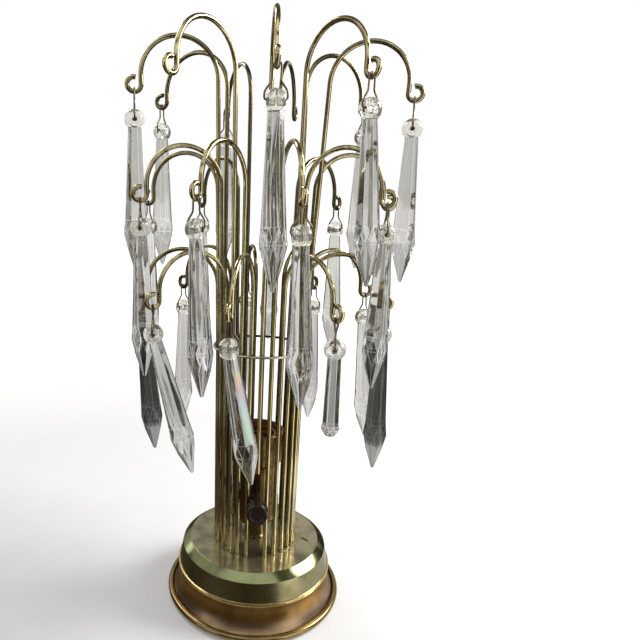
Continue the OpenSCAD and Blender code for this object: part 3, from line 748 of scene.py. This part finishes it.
def prism_mesh(name, materials, sizes):
    """One whole prism, head and spear joined into a single closed skin."""
    head = mesh_object(name + "_head", head_mesh(), materials, FACET_ANGLE)
    spear = mesh_object(name + "_spear", spear_mesh(**sizes), materials, FACET_ANGLE)
    join = head.modifiers.new("join", "BOOLEAN")
    join.operation = "UNION"
    join.solver = "EXACT"
    join.object = spear
    graph = bpy.context.evaluated_depsgraph_get()
    mesh = bpy.data.meshes.new_from_object(head.evaluated_get(graph))
    mesh.name = name
    for part in (head, spear):
        bpy.data.objects.remove(part)
    mesh.shade_smooth()
    mesh.set_sharp_from_angle(angle=math.radians(FACET_ANGLE))
    return mesh


def prism_hole(node):
    """Where a prism's joint is, in its hole, and which way the hole runs."""
    joint = next(j for j in frame["joints"] if j["child"] == node)
    return Vector(joint["pos_m"]), -Vector(joint["axis"]).normalized()


def prism_place(node):
    """Where and how a prism hangs: from its joint, and from the place of its CAD solid's lower end."""
    pin, across = prism_hole(node)
    corners = [v.co for v in NODES[node].data.vertices]
    reach = max((c - pin).length for c in corners)
    ends = [c for c in corners if (c - pin).length > reach - END_MARGIN * MM]
    up = (pin - sum(ends, Vector()) / len(ends)).normalized()
    out = across.cross(up).normalized()
    place = Matrix((out, across, up)).transposed().to_4x4()
    place.translation = pin - up * PIN_RISE * MM
    return place


def add_sheen(mesh, place):
    """Paints light on one prism: a painted sheen on the shaft's facet that looks most to one side, and
    painted highlights as bright lines on the shaft's near edges and along one side of its point. Their
    materials are the mesh's last two."""
    glass, edge = PRISM_FINISHES.index("glass"), PRISM_FINISHES.index("edge")
    highlight_lines, sheen = len(mesh.materials) - 2, len(mesh.materials) - 1
    turn = place.to_3x3()
    shaft_end = (SPEAR["girdle"] - SPEAR["length"]) * MM
    shaft = [f for f in mesh.polygons if f.material_index == glass and f.center.z > shaft_end]
    best = max(shaft, key=lambda f: (turn @ f.normal).dot(SHEEN_TOWARD)).normal.copy()
    for face in mesh.polygons:
        on_shaft = face.center.z > shaft_end
        toward, least = SHAFT_HIGHLIGHTS if on_shaft else POINT_HIGHLIGHTS
        if face.material_index == glass and on_shaft and face.normal.dot(best) > SAME_FACET:
            face.material_index = sheen
        if face.material_index == edge and (turn @ face.normal).dot(toward) > least:
            face.material_index = highlight_lines


def make_prisms(looks):
    """The glass prisms, each on its own body."""
    def prism_looks(glass, edge):
        return [looks[k] for k in (glass, "stain", "head", edge)]

    clear = prism_looks("crystal", "edge")
    spear = prism_mesh("spear_prism", clear, SPEAR)
    painted_dark = prism_mesh("painted_dark_prism", prism_looks("painted_dark", "painted_dark_edge"), SPEAR)
    blunt = prism_mesh("blunt_prism", prism_looks("grey", "painted_highlight_edge"), BLUNT)
    painted_lit = prism_mesh("sheen_prism", clear + [looks["painted_highlight_edge"], looks["sheen"]], SPEAR)
    add_sheen(painted_lit, prism_place(SHEEN_NODE))
    shapes = {BLUNT_NODE: blunt, SHEEN_NODE: painted_lit, **{node: painted_dark for node in PAINTED_DARK_NODES}}
    for node in sorted(n for n in NODES if "_prism_" in n):
        piece = bpy.data.objects.new("glass_" + node, shapes.get(node, spear))
        bpy.context.scene.collection.objects.link(piece)
        piece.matrix_world = prism_place(node)
        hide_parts(node)
        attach(piece, node)


def tube(bm, path, radius, sides=10):
    """A round wire along a path, with closed ends."""
    side = (path[1] - path[0]).orthogonal().normalized()
    angles = [2 * math.pi * j / sides for j in range(sides)]
    rings = []
    for i, point in enumerate(path):
        along = (path[min(i + 1, len(path) - 1)] - path[max(i - 1, 0)]).normalized()
        side = (side - along * side.dot(along)).normalized()
        other = along.cross(side)
        spokes = [side * math.cos(a) + other * math.sin(a) for a in angles]
        rings.append([bm.verts.new(point + spoke * radius) for spoke in spokes])
    for first, last in zip(rings, rings[1:]):
        for j in range(sides):
            n = (j + 1) % sides
            bm.faces.new((first[j], first[n], last[n], last[j]))
    bm.faces.new(list(reversed(rings[0])))
    bm.faces.new(rings[-1])


def eased(points, radius, steps=5):
    """A path with its inner corners rounded."""
    out = [points[0]]
    for before, corner, after in zip(points, points[1:], points[2:]):
        first, last = [corner + way.normalized() * min(radius, way.length / SIDE_SHARE)
                       for way in (before - corner, after - corner)]
        out += bend(first, corner, last, steps)
    return out + [points[-1]]


def link_path(node, wires):
    """The middle line of the link that carries a prism: up one leg, over the hook's eye, down the other."""
    pin, across = prism_hole(node)
    up = Vector((0, 0, MM))
    near = [w for w in wires if (w - pin).xy.length < LINK_REACH * MM and 0 < w.z - pin.z < LINK_TOP * MM]
    top = max(near, key=lambda w: w.z)
    eye = top - up * (LINK_BEND_R + LINK_R)
    ends = [w - eye for w in near if abs(w.z - eye.z) < EYE_BAND * MM]
    over = max(ends, key=lambda w: abs(w.dot(across)))
    over = Vector((over.x, over.y, 0)).normalized()
    over = over if over.dot(across) > 0 else -over
    legs = []
    for side in (1, -1):
        start = pin + across * side * PIN_IN * MM
        corner = pin + across * side * LEG_OUT * MM
        knee = pin + across * side * LINK_BEND_R * MM + up * KNEE_RISE
        end = eye + over * side * LINK_BEND_R * MM
        legs.append(eased([start, corner, corner + up * ELBOW_RISE, knee, end], LEG_EASE * MM))
    angles = [math.pi * i / LINK_BEND_STEPS for i in range(1, LINK_BEND_STEPS)]
    ways = [over * math.cos(a) + Vector((0, 0, math.sin(a))) for a in angles]
    return legs[0] + [eye + way * LINK_BEND_R * MM for way in ways] + list(reversed(legs[1]))


def make_links(looks):
    """The wire links, whose legs run side by side down to the ball and spread round it."""
    for tier in TIERS:
        node = tier + "_links"
        wires = [v.co for v in NODES[node].data.vertices]
        bm = bmesh.new()
        for prism in sorted(n for n in NODES if n.startswith(tier + "_prism_")):
            tube(bm, link_path(prism, wires), LINK_R * MM)
        bmesh.ops.recalc_face_normals(bm, faces=bm.faces)
        piece = mesh_object("bent_" + node, bm, [looks["wire"]], sharp=50)
        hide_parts(node)
        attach(piece, LAMP)


def solder_drop(bm, centre, radius, height, seed):
    """A lump of solder, flattened and uneven, its radius and height in millimetres."""
    made = bmesh.ops.create_icosphere(bm, subdivisions=2, radius=1.0)
    size = (radius * MM, radius * MM, height * MM)
    shift = Vector((seed * LUMP_STEP[0], seed * LUMP_STEP[1], 0))
    for v in made["verts"]:
        lump = 1 + LUMP_DEPTH * noise.noise(v.co * LUMP_SCALE + shift)
        v.co = Vector(centre) + Vector([place * full for place, full in zip(v.co, size)]) * lump


def make_solder(looks):
    """Solder round the rods' feet, and where the hoop crosses the rods. Rod 0, the front one, has no foot."""
    feet, joints = bmesh.new(), bmesh.new()
    hoop_r = ROD_CIRCLE_R + HOOP_H * math.sin(math.radians(ROD_LEAN))
    for i in range(ROD_COUNT):
        a = 2 * math.pi * i / ROD_COUNT
        out = Vector((math.sin(a), -math.cos(a), 0))
        if i:
            foot = out * ROD_CIRCLE_R * MM + Vector((0, 0, PLATE_H * MM))
            radius = FOOT_LUMP[0] + FOOT_LUMP_SPREAD[0] * math.sin(5 * i)
            height = FOOT_LUMP[1] + FOOT_LUMP_SPREAD[1] * math.sin(3 * i)
            solder_drop(feet, foot, radius, height, i)
        joint = out * (hoop_r + ROD_R + HOOP_LUMP_OUT) * MM + Vector((0, 0, (PLATE_H + HOOP_H) * MM))
        solder_drop(joints, joint, *HOOP_LUMP, i + ROD_COUNT)
    for name, bm in (("foot_solder", feet), ("hoop_solder", joints)):
        piece = mesh_object(name, bm, [looks["solder"]], sharp=60)
        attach(piece, LAMP)


def dress_nodes(looks):
    """Materials of the CAD nodes that are shown as they are."""
    dressed = {
        "rod": ["front_rod", "tall_rods", "middle_rods", "short_rods"],
        "hoop": ["brace_hoop"],
        "plate": ["rod_seat"],
        "neck": ["check_ring", "neck_tube"],
        "socket": ["socket_cap", "socket_shell"],
        "screw": ["screw_shell", "centre_contact", "terminal_screws"],
        "fibre": ["socket_liner"],
        "phenolic": ["socket_body"],
        "steel": ["threaded_nipple", "lock_nut", "lock_washer", "base_spacer", "switch_shaft"],
        "iron": ["base_weight"],
        "bush": ["cord_bushing"],
        "felt": ["felt_pad"],
    }
    for look, nodes in dressed.items():
        for node in nodes:
            dress(node, looks[look])


def emission(name, colour, strength):
    """A surface that shines evenly, for the cards round the stage."""
    material = bpy.data.materials.new(name)
    material.use_nodes = True
    tree = material.node_tree
    tree.nodes.clear()
    glow = tree.nodes.new("ShaderNodeEmission")
    glow.inputs["Color"].default_value = (*colour, 1.0)
    glow.inputs["Strength"].default_value = strength
    out = tree.nodes.new("ShaderNodeOutputMaterial")
    tree.links.new(glow.outputs[0], out.inputs[0])
    return material


def make_world():
    """White wherever the camera, metal or glass looks out, and an even light on the rest."""
    world = bpy.data.worlds.new("studio")
    bpy.context.scene.world = world
    world.use_nodes = True
    tree = world.node_tree
    path = tree.nodes.new("ShaderNodeLightPath")
    seen = path.outputs["Is Camera Ray"]
    for ray in ("Is Glossy Ray", "Is Transmission Ray"):
        most = tree.nodes.new("ShaderNodeMath")
        most.operation = "MAXIMUM"
        tree.links.new(seen, most.inputs[0])
        tree.links.new(path.outputs[ray], most.inputs[1])
        seen = most.outputs[0]
    level = tree.nodes.new("ShaderNodeMapRange")
    level.inputs["To Min"].default_value = WORLD_LIGHT
    level.inputs["To Max"].default_value = 1.0
    tree.links.new(seen, level.inputs["Value"])
    back = tree.nodes["Background"]
    back.inputs["Color"].default_value = (1, 1, 1, 1)
    tree.links.new(level.outputs[0], back.inputs["Strength"])


def stage_mesh(name, points, faces, material):
    """A piece of the stage from its corners."""
    mesh = bpy.data.meshes.new(name)
    mesh.from_pydata(points, [], faces)
    mesh.materials.append(material)
    piece = bpy.data.objects.new(name, mesh)
    bpy.context.scene.collection.objects.link(piece)
    return piece


def make_floor():
    """A pale floor that keeps the lamp's shadow and turns white far from it."""
    s = Shader("floor_paper", Roughness=0.9)
    grain = s.noise(scale=40, detail=3.0)
    away = s.add("VectorMath", {0: s.coords}, operation="LENGTH").outputs["Value"]
    s.fill(s.surface, {"Base Color": s.ramp(grain, (0.3, FLOOR_DARK), (0.7, FLOOR_BRIGHT)),
                       "Emission Color": (1, 1, 1, 1),
                       "Emission Strength": s.remap(away, *FLOOR_GLOW_AT, *FLOOR_GLOW)})
    corners = [(x * FLOOR_SIDE, y * FLOOR_SIDE, 0) for x, y in ((-1, -1), (1, -1), (1, 1), (-1, 1))]
    stage_mesh("floor", corners, [(0, 1, 2, 3)], s.material)


def make_card(name, azimuths, low, high, material):
    """A curved card from one (radius, height) to another, which shows only in reflections."""
    start, end = azimuths
    steps = max(2, round((end - start) / CARD_STEP))
    points, faces = [], []
    for i in range(steps + 1):
        a = math.radians(start + (end - start) * i / steps)
        points += [(r * math.cos(a), r * math.sin(a), z) for r, z in (low, high)]
        if i:
            faces.append((2 * i - 2, 2 * i, 2 * i + 1, 2 * i - 1))
    card = stage_mesh(name, points, faces, material)
    card.visible_camera = False
    card.visible_diffuse = False
    card.visible_shadow = False
    card.visible_transmission = False


def make_cards():
    """The room that the metal mirrors: walls and ceiling with gaps and a window, a table with a pale sheet at
    the right, and a bright strip at the front right that runs over table and wall."""
    cards = {name: emission(name + "_card", *look) for name, look in CARDS.items()}
    for side, (start, end, low, top, card) in WALLS.items():
        make_card(side + "_wall", (start, end), (ROOM_R, low), (ROOM_R, top), cards[card])
    for side, (start, end, inner, outer, card) in TABLES.items():
        make_card(side + "_table", (start, end), (inner, TABLE_Z), (outer, TABLE_Z), cards[card])
    start, end, low, top = WINDOW
    window_r = ROOM_R - WINDOW_IN
    make_card("left_window", (start, end), (window_r, low), (window_r, top), cards["window"])
    for side, (start, end, inner, outer, card) in ROOFS.items():
        make_card(side + "_roof", (start, end), (inner, ROOM_H), (outer, ROOM_H), cards[card])


def make_light(name, at, size, power, colour):
    """A soft rectangular light that faces the middle of the lamp."""
    data = bpy.data.lights.new(name, "AREA")
    data.shape = "RECTANGLE"
    data.size, data.size_y = size
    data.energy = power
    data.color = colour
    light = bpy.data.objects.new(name, data)
    bpy.context.scene.collection.objects.link(light)
    light.location = at
    light.rotation_mode = "QUATERNION"
    light.rotation_quaternion = (Vector(at) - Vector(LIGHTS_AIM)).to_track_quat("Z", "Y")


def make_camera():
    """The photograph's camera: its place, direction, and the point straight ahead of it in the picture."""
    data = bpy.data.cameras.new("photo_camera")
    data.sensor_width = SENSOR_MM
    data.lens = FOCAL_PX * SENSOR_MM / IMAGE_PX
    data.shift_x = 0.5 - PRINCIPAL_PX[0] / IMAGE_PX
    data.shift_y = PRINCIPAL_PX[1] / IMAGE_PX - 0.5
    data.clip_start = CLIP_START
    camera = bpy.data.objects.new("photo_camera", data)
    bpy.context.scene.collection.objects.link(camera)
    camera.matrix_world = (
        Matrix.Translation(CAMERA_AT)
        @ Matrix.Rotation(math.radians(-CAMERA_YAW), 4, "Z")
        @ Matrix.Rotation(math.radians(90 - CAMERA_PITCH), 4, "X")
        @ Matrix.Rotation(math.radians(CAMERA_ROLL), 4, "Z"))
    bpy.context.scene.camera = camera


looks = finishes()
dress_nodes(looks)
make_skirt(looks)
make_drum(looks)
make_knob(looks)
make_prisms(looks)
make_links(looks)
make_solder(looks)
make_world()
make_floor()
make_cards()
for light_name, light in LIGHTS.items():
    make_light(light_name, *light)
make_camera()
bpy.context.scene.view_settings.view_transform = "Standard"
